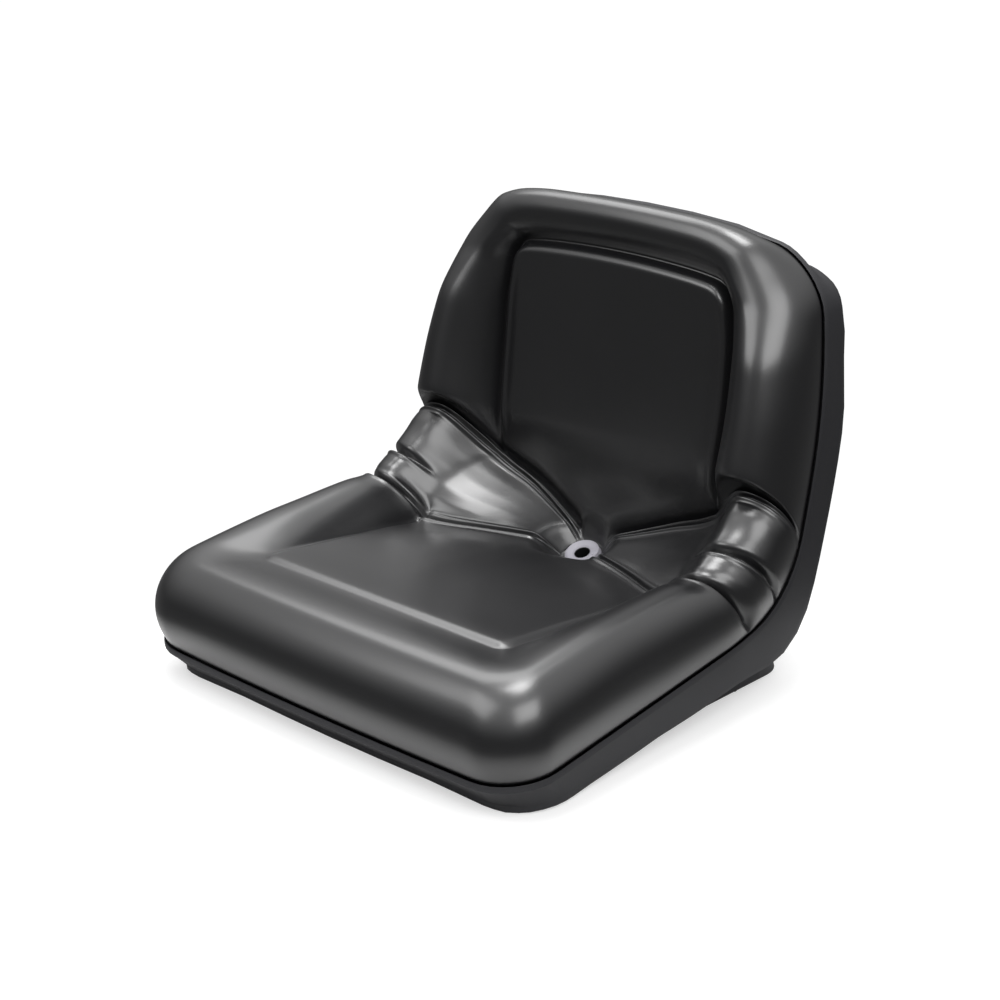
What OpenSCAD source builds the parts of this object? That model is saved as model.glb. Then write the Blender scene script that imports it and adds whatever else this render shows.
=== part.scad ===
/* [Seat outline] */
// Width over the cushion rim at the seat
rim_width = 484; // [440:1:530]
// Straight run of the rim from the front edge to the bend
seat_run = 328; // [300:1:350]
// Slope of the seat rim towards the back, degrees
seat_pitch = 7.8; // [5:0.1:11]
// Height of the rim at the front edge
rim_height = 36; // [30:0.5:42]
// Radius of the bend from seat to back
bend_radius = 97; // [85:1:110]
// Angle of the back rim at the end of the bend, degrees
back_angle = 74; // [68:0.5:80]
// Length of the back along the rim, above the bend
back_run = 267; // [245:1:290]
// Large radius of the back rim
back_curve = 1150; // [900:10:1600]
// Radius that turns the upper back rim forward
top_curve = 200; // [150:5:300]
// Plan radius of the front corners
front_corner = 50; // [40:1:65]
// Radius of the top corners
top_corner = 52; // [44:1:60]
// Bow of the front edge
front_bow = 5; // [2:0.5:9]
// Bow of the top edge
top_bow = 11; // [7:0.5:15]
// Narrowing of each side at the top of the back
top_taper = 28; // [18:1:36]

/* [Bolster] */
// Height of the front bolster over the rim
front_bolster = 76; // [66:1:84]
// Height of the side bolster at mid seat
side_bolster = 74; // [64:1:82]
// Height of the side bolster where the seat pad ends
pad_end_bolster = 69; // [62:1:76]
// Height of the thin bellows roll
thin_roll = 76; // [68:1:82]
// Height of the boxed bellows roll
boxed_roll = 90; // [82:1:95]
// Height of the heel of the back bolster
heel_bolster = 88; // [80:1:96]
// Height of the back bolster at mid back
back_bolster = 77; // [68:1:84]
// Height of the back bolster at the top edge
top_bolster = 53; // [46:1:60]
// Width of the front bolster
front_band = 80; // [70:1:90]
// Width of the top bolster
top_band = 58; // [50:1:66]
// Half width of the recessed seat panel
seat_panel_half = 159; // [150:1:166]
// Half width of the recessed back panel
back_panel_half = 144; // [136:1:150]
// Share of the band where the crown of the bolster runs
crown_share = 0.44; // [0.38:0.01:0.5]
// Extra share of the band for the crown at the top corners
corner_share = 0.22; // [0.1:0.01:0.3]
// Outward swell of the bolster below its crown, share of the band
bolster_swell = 0.075; // [0.04:0.005:0.12]
// Outward swell of the top bolster, share of the band
top_swell = 0.24; // [0.15:0.01:0.3]

/* [Grooves and panels] */
// Place of the seat groove along the rim
seat_groove = 309; // [300:1:318]
// Place of the bellows fold along the rim
bellows_fold = 371; // [364:1:378]
// Place of the back groove along the rim
back_groove = 438; // [430:1:446]
// Depth of the seat groove
seat_groove_depth = 5; // [3:0.5:8]
// Depth of the back groove
back_groove_depth = 6; // [3:0.5:8]
// Half width of both grooves
groove_half = 6; // [4.5:0.5:8]
// Height of the beads beside the grooves
groove_bead = 1.6; // [0.8:0.1:2.5]
// Depth of the bolster notch at the seat groove
seat_notch = 13; // [8:1:18]
// Depth of the bolster notch at the fold
fold_notch = 18; // [12:1:22]
// Depth of the bolster notch at the back groove
back_notch = 40; // [32:1:46]
// Forward run of the seat groove at the middle
seat_groove_run = 50; // [40:1:56]
// Rearward run of the back groove at the middle
back_groove_run = 40; // [32:1:46]
// Step of the raised back panel
back_step = 8; // [5:0.5:10]
// Step of the seat panel edge
seat_step = 5; // [3:0.5:7]

/* [Base shell] */
// Wall thickness of the moulded shell
wall = 4; // [3:0.5:5]
// Gap between the cushion and the shell
seat_gap = 1; // [0.6:0.1:1.4]
// Height of the rim lip
lip_height = 8; // [6:0.5:11]
// Overhang of the rim lip beyond the cushion rim
lip_proud = 2; // [1:0.5:3]
// Depth of the shell at the front
shell_front = 30.5; // [29:0.5:35]
// Depth of the shell at the rear of the seat
shell_seat = 43; // [38:1:47]
// Depth of the shell at mid back
shell_back = 65; // [58:1:70]
// Depth of the shell at the top edge
shell_top = 16; // [14:1:20]
// Inward slope of the front wall
front_draft = 22; // [16:1:26]
// Edge radius round the back of the shell
back_edge_radius = 20; // [14:1:26]
// Edge radius under the seat
seat_edge_radius = 6; // [5.5:0.5:8]

/* [Plinth] */
// Half width of the plinth
plinth_half = 209; // [195:1:215]
// Rear end of the plinth
plinth_rear = 402; // [395:1:406]
// Front end of the plinth
plinth_front = 42; // [38:1:60]
// Thickness of the plinth walls
plinth_wall = 4; // [3:0.5:5]
// Corner radius of the plinth
plinth_corner = 18; // [12:1:25]
// Radius of the bottom edges of the plinth
plinth_foot = 6; // [3:0.5:8]
// Thickness of the stiffening ribs
rib_thick = 3; // [2.5:0.5:4]
// Side distance between the mounting inserts
bolt_space_x = 285.75; // [260:0.25:300]
// Front to back distance between the mounting inserts
bolt_space_y = 203.2; // [190:0.1:215]
// Distance of the mounting pattern centre from the front edge
bolt_centre_y = 250; // [240:1:258]
// Radius of the mounting bosses
boss_r = 12; // [11:0.5:15]
// Outside radius of the threaded inserts
insert_r = 6.5; // [5.5:0.25:7.5]
// Thread radius of the inserts
thread_r = 3.3; // [2.8:0.1:4]
// Length of the inserts
insert_len = 13; // [10:0.5:14]

/* [Drain grommet] */
// Distance of the grommet along the rim
drain_at = 366; // [360:1:372]
// Tilt of the grommet towards the front, degrees
drain_tilt = 23; // [15:1:30]
// Radius of the grommet flange
drain_flange_r = 19; // [16:0.5:21]
// Radius of the drain hole
drain_bore_r = 7.75; // [6:0.25:8.5]
// Outside radius of the grommet tube
drain_tube_r = 11; // [10:0.25:12.5]
// Radius of the weep hole in the plinth
weep_r = 6; // [4:0.5:8]
// Distance of the weep hole from the plinth's rear end
weep_set = 20; // [15:1:26]
// Height of the grommet flange
drain_flange_h = 7; // [5:0.5:8]

/* [Hidden] */
vinyl = [0.045, 0.045, 0.048];
plastic = [0.07, 0.07, 0.075];
rubber = [0.33, 0.33, 0.35];
metal = [0.72, 0.62, 0.36];
half = rim_width / 2;
bend_arc = bend_radius * (back_angle - seat_pitch) * PI / 180;
back_start = seat_run + bend_arc;
curve_arc = back_run * 0.845;
top_s = back_start + back_run;
upper_angle = back_angle + curve_arc / back_curve * 180 / PI;

// Smooth step from 0 to 1
function ease(t) = let (u = min(max(t, 0), 1)) u * u * (3 - 2 * u);

// Slope at each knot of a table of [place, value] pairs
function knot_slope(k, i) =
  let (n = len(k) - 1)
  let (a = max(i - 1, 0), b = min(i, n - 1))
  let (h0 = k[a + 1][0] - k[a][0], h1 = k[b + 1][0] - k[b][0])
  let (d0 = (k[a + 1][1] - k[a][1]) / h0, d1 = (k[b + 1][1] - k[b][1]) / h1)
  i == 0 ? d1 : i == n ? d0 : d0 * d1 > 0 ? (h0 + h1) * d0 * d1 / (h0 * d1 + h1 * d0) : 0;
function table(k) = [for (i = [0 : len(k) - 1]) [k[i][0], k[i][1], knot_slope(k, i)]];
function span(k, t, i = 0) = (i >= len(k) - 2 || t < k[i + 1][0]) ? i : span(k, t, i + 1);
function at(k, t0) =
  let (t = min(max(t0, k[0][0]), k[len(k) - 1][0]), i = span(k, t), h = k[i + 1][0] - k[i][0])
  let (u = (t - k[i][0]) / h, v = 1 - u)
  k[i][1] * (1 + 2 * u) * v * v + k[i][2] * h * u * v * v
  + k[i + 1][1] * u * u * (3 - 2 * u) - k[i + 1][2] * h * u * u * v;

// Side profile of the rim, by distance along it
function rim_y(s) =
  let (a1 = seat_pitch + min(max(s - seat_run, 0), bend_arc) / bend_radius * 180 / PI)
  let (a2 = back_angle + min(max(s - back_start, 0), curve_arc) / back_curve * 180 / PI)
  let (a3 = upper_angle + max(s - back_start - curve_arc, 0) / top_curve * 180 / PI)
  min(s, seat_run) * cos(seat_pitch) + bend_radius * (sin(a1) - sin(seat_pitch))
  + back_curve * (sin(a2) - sin(back_angle)) + top_curve * (sin(a3) - sin(upper_angle));
function rim_z(s) =
  let (a1 = seat_pitch + min(max(s - seat_run, 0), bend_arc) / bend_radius * 180 / PI)
  let (a2 = back_angle + min(max(s - back_start, 0), curve_arc) / back_curve * 180 / PI)
  let (a3 = upper_angle + max(s - back_start - curve_arc, 0) / top_curve * 180 / PI)
  rim_height + min(s, seat_run) * sin(seat_pitch) + bend_radius * (cos(seat_pitch) - cos(a1))
  + back_curve * (cos(back_angle) - cos(a2)) + top_curve * (cos(upper_angle) - cos(a3));

// Direction in which the cushion rises from the rim, degrees forward of upright
lean_table = table([
  [0, 4], [60, seat_pitch], [150, 9], [230, 13], [seat_groove, 21], [bellows_fold, 28],
  [back_groove, 31], [back_groove + 25, 55], [back_groove + 55, 74], [back_groove + 110, 80],
  [top_s - 70, 82], [top_s, 73]
]);
function rise(s, x, h) =
  let (l = at(lean_table, s))
  [x, rim_y(s) - sin(l) * h, rim_z(s) + cos(l) * h];

// Half width of the rim and of the recessed panels
half_table = table([
  [0, half], [290, half - 1], [345, half - 5], [438, half - 9], [520, half - 12],
  [610, half - 19], [660, half - 23], [top_s, half - top_taper]
]);
panel_table = table([
  [80, seat_panel_half - 1], [250, seat_panel_half + 1], [bellows_fold, seat_panel_half + 1],
  [back_groove, back_panel_half - 3], [480, back_panel_half - 1], [547, back_panel_half + 2],
  [600, back_panel_half + 2], [top_s - 60, back_panel_half - 2], [top_s, back_panel_half - 3]
]);

// Crown of the bolster round the outline, and the notches that part its rolls
crown_table = table([
  [0, front_bolster], [60, front_bolster + 3], [140, side_bolster + 4], [206, side_bolster],
  [270, pad_end_bolster], [seat_groove + 13, pad_end_bolster + 3], [335, thin_roll],
  [350, thin_roll + 1], [385, boxed_roll - 4], [400, boxed_roll], [424, boxed_roll + 1],
  [460, heel_bolster], [500, heel_bolster - 8], [550, back_bolster + 2], [600, back_bolster - 1],
  [640, back_bolster - 12], [660, top_bolster + 5], [top_s, top_bolster]
]);
function notch(s, c, before, after, deep, power) =
  deep * exp(-pow(abs(s < c ? (c - s) / before : (s - c) / after), power));
function notches(s) =
  notch(s, seat_groove, 14, 12, seat_notch, 1.6) + notch(s, bellows_fold, 10, 10, fold_notch, 1.5)
  + notch(s, back_groove, 11, 16, back_notch, 1.7);

// Height of the crease between bolster and panel, and of the middle of the panel
crease_table = table([
  [60, 71], [90, 69], [150, 57], [250, 43], [seat_groove, 34], [335, 42], [bellows_fold, 44],
  [410, 28], [back_groove, 11], [back_groove + 10, 14], [480, 20], [547, 25], [600, 30],
  [663, 36], [top_s, 38]
]);
middle_table = table([
  [60, 73], [90, 69], [150, 54], [250, 28], [seat_groove - 25, 8], [seat_groove, -3],
  [bellows_fold, -10], [back_groove, -15], [back_groove + 12, -8], [back_groove + 50, 14],
  [547, 26], [600, 31], [663, 37], [top_s, 38]
]);
dish_table = table([
  [60, 2], [250, 1.6], [seat_groove, 0.8], [bellows_fold, 1.3], [back_groove, 2.4],
  [back_groove + 30, 2.2], [547, 2], [top_s, 2]
]);

// Shift of the rows that carries the two grooves into their crossing paths
seat_path = table([
  [0, seat_groove_run], [0.15, seat_groove_run - 1], [0.3, seat_groove_run - 8],
  [0.5, seat_groove_run * 0.48], [0.75, seat_groove_run * 0.1], [0.9, -7], [1, -7]
]);
back_path = table([
  [0, -back_groove_run], [0.2, 4 - back_groove_run], [0.43, -25], [0.64, -17], [0.85, -9], [1, -4]
]);
function shift(s, x) =
  let (ex = at(panel_table, s), t = min(abs(x) / ex, 1), w = at(half_table, s))
  let (fade = pow(min(max((w - abs(x)) / (w - ex), 0), 1), 0.6))
  let (d2 = at(seat_path, t) * fade, d1 = at(back_path, t) * fade)
  s < seat_groove ? d2 * ease(s / seat_groove)
  : s < back_groove ? d2 + (d1 - d2) * (s - seat_groove) / (back_groove - seat_groove)
  : d1 * (1 - ease((s - back_groove) / 150));
function sheet(s, x, h) = rise(s + shift(s, x), x, h);

// Rows along the sides: close together at the grooves and the fold
count_seat = 14;
count_thin = 7;
count_box = 8;
count_back = 13;
row_count = count_seat + count_thin + count_box + count_back;
function graded(v, c) = v * (c + (1 - c) * v);
function row(i, a, b) =
  i <= count_seat ? seat_groove - (seat_groove - a) * graded(1 - i / count_seat, 0.22)
  : i <= count_seat + count_thin ? let (t = (i - count_seat) / count_thin)
    seat_groove + (bellows_fold - seat_groove) * (t - 0.09 * sin(360 * t))
  : i <= count_seat + count_thin + count_box ? let (t = (i - count_seat - count_thin) / count_box)
    bellows_fold + (back_groove - bellows_fold) * (t - 0.09 * sin(360 * t))
  : back_groove + (b - back_groove) * graded((i - row_count + count_back) / count_back, 0.25);

// Outline of rounded corners on the grid: o = [half, start, end, corner, top corner, bow, top bow]
turns = 4;
cols = 18;
rows = row_count + 2 * turns;
function outline(i, j, o) =
  let (side = (j == 0 || j == cols) && i > 0 && i < rows, top = i > rows / 2)
  let (k = side ? min(i, rows - i) : min(j, cols - j), sg = j < cols / 2 ? -1 : 1)
  let (r = top ? o[4] : o[3], a = 45 + (side ? -45 : 45) * min(k / turns, 1))
  let (x = k <= turns ? sg * (o[0] - r + r * cos(a))
    : side ? sg * o[0] : (o[0] - r) * (2 * (j - turns) / (cols - 2 * turns) - 1))
  let (s = k <= turns ? (top ? o[2] - r + r * sin(a) : o[1] + r - r * sin(a))
    : side ? row(i - turns, o[1] + o[3], o[2] - o[4]) : top ? o[2] : o[1])
  let (bow = 1 - x * x / (o[0] * o[0]))
  [top ? s + o[6] * bow * ease((s - o[2] + o[4]) / o[4]) : s - o[5] * bow * ease((o[1] + o[3] - s) / o[3]), x];
loop = concat(
  [for (j = [0 : cols - 1]) [0, j]], [for (i = [0 : rows - 1]) [i, cols]],
  [for (j = [cols : -1 : 1]) [rows, j]], [for (i = [rows : -1 : 1]) [i, 0]]
);
around = len(loop);

// Rim outline and crease outline, in places on the sheet
function rim_pt(p) =
  let (q = outline(p[0], p[1], [half, 0, top_s, front_corner, top_corner, front_bow, top_bow]))
  [q[0], q[1] * at(half_table, q[0]) / half];
function crease_pt(p) =
  let (q = outline(p[0], p[1], [seat_panel_half, front_band, top_s - top_band, 16, 24, 3, 8]))
  [q[0], q[1] * at(panel_table, q[0]) / seat_panel_half];
rim_loop = [for (p = loop) rim_pt(p)];
crease_loop = [for (p = loop) crease_pt(p)];

// Beads and valleys of the crossing grooves
function groove(s, x, c, deep) =
  let (t = (s - c) / groove_half)
  deep * exp(-t * t) - groove_bead * (exp(-pow(t - 2, 2)) + exp(-pow(t + 2, 2)));
function grooves(s, x) =
  let (ax = abs(x), reach = ease((ax - 14) / 20) * (1 - ease((ax - at(panel_table, s)) / 30)))
  reach * (groove(s, x, seat_groove, seat_groove_depth) + groove(s, x, back_groove, back_groove_depth));

// Bolster skin from the rim over the crown, then down to the crease
over_rings = 8;
fall_rings = 7;
function near_corner(p) =
  p[0] < rows / 2 ? 0 : ease(1 - (p[0] < rows ? rows - p[0] : min(p[1], cols - p[1])) / 7);
share = [for (p = loop) crown_share + corner_share * near_corner(p)];
swell = [for (b = [0 : around - 1]) bolster_swell + (top_swell - bolster_swell)
  * ease((rim_loop[b][0] - top_s + top_corner) / 45) * (1 - near_corner(loop[b]))];
function over_pt(b, t) =
  let (a = rim_loop[b], e = crease_loop[b], f = pow(sin(90 * t), 0.9))
  let (q = share[b] * (1 - pow(cos(90 * t), 0.9)) - swell[b] * sin(180 * pow(t, 0.8)) * pow(1 - t, 0.4))
  let (s = a[0] + (e[0] - a[0]) * q, x = a[1] + (e[1] - a[1]) * q)
  sheet(s, x, (at(crown_table, s) - notches(s) * sqrt(f)) * f);
function fall_pt(b, t) =
  let (a = rim_loop[b], e = crease_loop[b], q = share[b] + (1 - share[b]) * t)
  let (s = a[0] + (e[0] - a[0]) * q, x = a[1] + (e[1] - a[1]) * q)
  let (k = at(crown_table, s) - notches(s) * pow(1 - t, 0.3), h = at(crease_table, s))
  sheet(s, x, h + (k - h) * pow(1 - t * t, 0.85) - grooves(s, x));

// Panel skin inside the crease
function panel_h(s, x) =
  let (ex = at(panel_table, s), t = min(abs(x) / ex, 1), e = at(crease_table, s), m = at(middle_table, s))
  let (near = min(ex - abs(x), s < 400 ? s - front_band + 3 : top_s - top_band + 8 - s))
  let (edge = min(near, s < seat_groove ? seat_groove - s : s > back_groove ? s - back_groove : 0))
  let (lift = s < seat_groove ? seat_step * sin(90 * min(max(edge / 9, 0), 1))
    : s > back_groove ? back_step * sin(90 * min(max(edge / 12, 0), 1)) : 0)
  let (rho = norm([x, s + shift(s, x) - drain_at]))
  m + (e - m) * pow(t, at(dish_table, s)) + lift - grooves(s, x) - 9 * exp(-rho * rho / 576);
function patch(v, u, i, j, f, t, l, r) =
  (1 - u) * l[i] + u * r[i] + (1 - v) * f[j] + v * t[j]
  - (1 - u) * ((1 - v) * f[0] + v * t[0]) - u * ((1 - v) * f[cols] + v * t[cols]);
crease_front = [for (j = [0 : cols]) crease_pt([0, j])];
crease_top = [for (j = [0 : cols]) crease_pt([rows, j])];
crease_left = [for (i = [0 : rows]) crease_pt([i, 0])];
crease_right = [for (i = [0 : rows]) crease_pt([i, cols])];
function inner_pt(i, j) =
  let (v = (crease_left[i][0] - crease_left[0][0]) / (crease_left[rows][0] - crease_left[0][0]))
  let (u = (crease_front[j][1] - crease_front[0][1]) / (crease_front[cols][1] - crease_front[0][1]))
  patch(v, u, i, j, crease_front, crease_top, crease_left, crease_right);

// Faces of a stack of rings, and of a grid whose border follows the loop
function band(r0, r1, n) = [for (b = [0 : n - 1]) each let (c = (b + 1) % n)
  [[r0 + b, r1 + b, r1 + c], [r0 + b, r1 + c, r0 + c]]];
function flip(f) = [for (t = f) [t[0], t[2], t[1]]];
function grid_at(base, i, j, n) = base + i * (n + 1) + j;
function grid(base, m, n) = [for (i = [0 : m - 1]) for (j = [0 : n - 1]) each
  let (a = grid_at(base, i, j, n), b = grid_at(base, i, j + 1, n))
  let (c = grid_at(base, i + 1, j + 1, n), d = grid_at(base, i + 1, j, n))
  [[a, d, c], [a, c, b]]];

// Shell depth below the rim sheet, and the edge radius round it
depth_table = table([
  [0, shell_front], [120, shell_front + 4], [240, shell_seat - 1], [seat_run, shell_seat],
  [400, shell_back - 6], [470, shell_back - 1], [560, shell_back], [610, shell_back - 4],
  [650, shell_back * 0.75], [top_s, shell_top]
]);
edge_table = table([
  [0, seat_edge_radius], [seat_run, seat_edge_radius], [430, back_edge_radius * 0.8],
  [500, back_edge_radius], [600, back_edge_radius], [650, back_edge_radius * 0.7], [top_s, 6]
]);
// Direction across the rim, degrees, for the shell
tilt_table = table([
  [0, seat_pitch * 0.5], [60, seat_pitch], [seat_run, seat_pitch + 2],
  [seat_run + bend_arc / 2, (seat_pitch + back_angle) / 2], [back_start, back_angle + 2],
  [back_start + 100, upper_angle - 4], [top_s, upper_angle + 6]
]);
function under(s, x, d) =
  let (l = at(tilt_table, s))
  [x, rim_y(s) + sin(l) * d, rim_z(s) - cos(l) * d];

// Grid of the shell, coarser than the cushion's
shell_turns = 4;
shell_cols = 14;
shell_rows = 36;
function tray_row(i, a, b) =
  i <= 10 ? a + (seat_groove - a) * i / 10
  : i <= 19 ? seat_groove + (back_groove - seat_groove) * (i - 10) / 9
  : back_groove + (b - back_groove) * (i - 19) / 9;
function tray_outline(i, j, o) =
  let (n = shell_rows, m = shell_cols, side = (j == 0 || j == m) && i > 0 && i < n, top = i > n / 2)
  let (k = side ? min(i, n - i) : min(j, m - j), sg = j < m / 2 ? -1 : 1)
  let (r = top ? o[4] : o[3], a = 45 + (side ? -45 : 45) * min(k / shell_turns, 1))
  let (x = k <= shell_turns ? sg * (o[0] - r + r * cos(a))
    : side ? sg * o[0] : (o[0] - r) * (2 * (j - shell_turns) / (m - 2 * shell_turns) - 1))
  let (s = k <= shell_turns ? (top ? o[2] - r + r * sin(a) : o[1] + r - r * sin(a))
    : side ? tray_row(i - shell_turns, o[1] + o[3], o[2] - o[4]) : top ? o[2] : o[1])
  let (bow = 1 - x * x / (o[0] * o[0]))
  [top ? s + o[6] * bow * ease((s - o[2] + o[4]) / o[4]) : s - o[5] * bow * ease((o[1] + o[3] - s) / o[3]), x];
tray_loop = concat(
  [for (j = [0 : shell_cols - 1]) [0, j]], [for (i = [0 : shell_rows - 1]) [i, shell_cols]],
  [for (j = [shell_cols : -1 : 1]) [shell_rows, j]], [for (i = [shell_rows : -1 : 1]) [i, 0]]
);

// Rim inset by w, and the outline of the shell floor, on the cushion's grid or on the shell's
function pick(p, o, fine) = fine ? outline(p[0], p[1], o) : tray_outline(p[0], p[1], o);
function inset_pt(p, w, fine) =
  let (o = [half - w, w, top_s - w, front_corner - w, top_corner - w, front_bow, top_bow])
  let (q = pick(p, o, fine))
  [q[0], sign(q[1]) * (abs(q[1]) + w) * at(half_table, q[0]) / half - sign(q[1]) * w];
floor_inset = 26;
function floor_pt(p, fine) =
  let (o = [half - floor_inset, front_draft + seat_edge_radius, top_s - floor_inset,
    front_corner, top_corner - floor_inset, front_bow, top_bow])
  let (q = pick(p, o, fine))
  [q[0], q[1] * (at(half_table, q[0]) - 2 - at(edge_table, q[0])) / (half - floor_inset)];

// Point of a tray wall: w in from the rim, turn from 0 at the edge radius' start to 1 at the floor
function wall_pt(p, w, turn, fine) =
  let (a = inset_pt(p, w, fine), e = floor_pt(p, fine), run = norm([e[0] - a[0], e[1] - a[1]]))
  let (q0 = a[0] + (e[0] - a[0]) * 0.5, r = max(min(at(edge_table, q0) - w, run - 0.5), 0.6))
  let (q = 1 - (r / run) * cos(90 * turn))
  let (s = a[0] + (e[0] - a[0]) * q, x = a[1] + (e[1] - a[1]) * q)
  under(s, x, at(depth_table, s) - w - r * (1 - sin(90 * turn)));
function rim_ring(p, w, d, fine) = let (a = inset_pt(p, w, fine)) under(a[0], a[1], d);
function floor_in(i, j, w, f, t, l, r, m, n) =
  let (v = (l[i][0] - l[0][0]) / (l[n][0] - l[0][0]), u = (f[j][1] - f[0][1]) / (f[m][1] - f[0][1]))
  let (a = (1 - u) * l[i] + u * r[i] + (1 - v) * f[j] + v * t[j]
    - (1 - u) * ((1 - v) * f[0] + v * t[0]) - u * ((1 - v) * f[m] + v * t[m]))
  under(a[0], a[1], at(depth_table, a[0]) - w);
function floor_grid(w, fine) =
  let (m = fine ? cols : shell_cols, n = fine ? rows : shell_rows)
  let (f = [for (j = [0 : m]) floor_pt([0, j], fine)], t = [for (j = [0 : m]) floor_pt([n, j], fine)])
  let (l = [for (i = [0 : n]) floor_pt([i, 0], fine)], r = [for (i = [0 : n]) floor_pt([i, m], fine)])
  [for (i = [0 : n]) for (j = [0 : m]) floor_in(i, j, w, f, t, l, r, m, n)];
function grid_loop(base, lp, m) = [for (p = lp) base + p[0] * (m + 1) + p[1]];
function stitch(r0, g, n) = [for (b = [0 : n - 1]) each let (c = (b + 1) % n)
  [[r0 + b, g[b], g[c]], [r0 + b, g[c], r0 + c]]];

// Cushion: one moulding of skin and foam, from the floor of its underside up over the bolsters
cushion_wall = wall + seat_gap;
under_rings = concat(
  [[for (p = loop) wall_pt(p, cushion_wall, 0.5, true)], [for (p = loop) wall_pt(p, cushion_wall, 0, true)],
    [for (p = loop) rim_ring(p, cushion_wall, 6, true)], [for (p = loop) rim_ring(p, 2, 2.5, true)]]
);
over_list = [for (k = [0 : over_rings]) [for (b = [0 : around - 1]) over_pt(b, k / over_rings)]];
fall_list = [for (k = [1 : fall_rings - 1]) [for (b = [0 : around - 1]) fall_pt(b, k / fall_rings)]];
skin = concat(under_rings, over_list, fall_list);
skin_grid = [for (i = [0 : rows]) for (j = [0 : cols]) let (a = inner_pt(i, j)) sheet(a[0], a[1], panel_h(a[0], a[1]))];
module cushion_solid() {
  n = len(skin);
  g0 = n * around;
  g1 = g0 + len(skin_grid);
  points = concat([for (r = skin) each r], skin_grid, floor_grid(cushion_wall, true));
  faces = concat(
    [for (r = [0 : n - 2]) each band(r * around, (r + 1) * around, around)],
    stitch((n - 1) * around, grid_loop(g0, loop, cols), around),
    grid(g0, rows, cols),
    flip(stitch(0, grid_loop(g1, loop, cols), around)),
    flip(grid(g1, rows, cols))
  );
  polyhedron(points, faces, convexity = 8);
}

// Base shell: outer floor and wall, lip, inner wall and floor
module tray_solid() {
  n = len(tray_loop);
  lip = lip_proud;
  rings = [
    [for (p = tray_loop) wall_pt(p, 0, 0.5, false)], [for (p = tray_loop) wall_pt(p, 0, 0, false)],
    [for (p = tray_loop) rim_ring(p, 0, lip_height + 1.5, false)],
    [for (p = tray_loop) rim_ring(p, -lip, lip_height, false)], [for (p = tray_loop) rim_ring(p, -lip, 3, false)],
    [for (p = tray_loop) rim_ring(p, 0.6 - lip, 2, false)], [for (p = tray_loop) rim_ring(p, wall, 6.6, false)],
    [for (p = tray_loop) wall_pt(p, wall, 0, false)], [for (p = tray_loop) wall_pt(p, wall, 0.5, false)]
  ];
  c = len(rings);
  outer = floor_grid(0, false);
  g0 = c * n;
  g1 = g0 + len(outer);
  points = concat([for (r = rings) each r], outer, floor_grid(wall, false));
  faces = concat(
    [for (r = [0 : c - 2]) each band(r * n, (r + 1) * n, n)],
    stitch((c - 1) * n, grid_loop(g1, tray_loop, shell_cols), n),
    grid(g1, shell_rows, shell_cols),
    flip(stitch(0, grid_loop(g0, tray_loop, shell_cols), n)),
    flip(grid(g0, shell_rows, shell_cols))
  );
  polyhedron(points, faces, convexity = 6);
}

// The frame's origin is the middle of the mounting pattern, on the ground
module to_frame() {
  translate([0, -bolt_centre_y, 0])
    children();
}

// Drain hole place and direction
drain_lean = at(lean_table, drain_at);
drain_y = rim_y(drain_at) + sin(drain_lean) * 13;
drain_z = rim_z(drain_at) - cos(drain_lean) * 13;
module on_drain_axis() {
  translate([0, drain_y, drain_z])
    rotate([drain_tilt, 0, 0])
      children();
}

module cushion() {
  color(vinyl)
    to_frame() difference() {
      cushion_solid();
      on_drain_axis()
        translate([0, 0, -60])
          cylinder(r = drain_tube_r + 0.4, h = 120, $fn = 72);
      on_drain_axis()
        translate([0, 0, -2])
          cylinder(r = drain_flange_r + 0.4, h = 40, $fn = 72);
    }
}
// Side profile of the space between the ground and a depth into the shell floor
function floor_line(w) = [for (s = [10 : 10 : 460]) let (q = under(s, 0, at(depth_table, s) - w)) [q[1], q[2]]];
module below_floor(w) {
  line = floor_line(w);
  translate([-half, 0, 0])
    rotate([90, 0, 90])
      linear_extrude(rim_width)
        polygon(concat([[line[0][0], 0]], line, [[line[len(line) - 1][0], 0]]));
}
module rounded_plan(inset) {
  x = plinth_half - inset;
  y0 = plinth_front + inset;
  y1 = plinth_rear - inset;
  r = plinth_corner - inset;
  translate([-x + r, y0])
    square([2 * (x - r), y1 - y0]);
  translate([-x, y0 + r])
    square([2 * x, y1 - y0 - 2 * r]);
  for (sx = [-1, 1])
    for (y = [y0 + r, y1 - r])
      translate([sx * (x - r), y])
        circle(r, $fn = 48);
}
// Bottom edges of the plinth are rounded by two profiles that cross
function foot(a, b, r) = concat([[a, 80]], [for (t = [0 : 15 : 90]) [a + r - r * cos(t), r - r * sin(t)]],
  [for (t = [90 : -15 : 0]) [b - r + r * cos(t), r - r * sin(t)]], [[b, 80]]);
module plinth_block() {
  intersection() {
    linear_extrude(80)
      rounded_plan(0);
    translate([-half, 0, 0])
      rotate([90, 0, 90])
        linear_extrude(rim_width)
          polygon(foot(plinth_front, plinth_rear, plinth_foot));
    translate([0, 500, 0])
      rotate([90, 0, 0])
        linear_extrude(500)
          polygon(foot(-plinth_half, plinth_half, plinth_foot));
    below_floor(wall * 0.4);
  }
}
weep_y = plinth_rear - weep_set;
bolt_x = bolt_space_x / 2;
bolt_y = [bolt_centre_y - bolt_space_y / 2, bolt_centre_y + bolt_space_y / 2];
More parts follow.
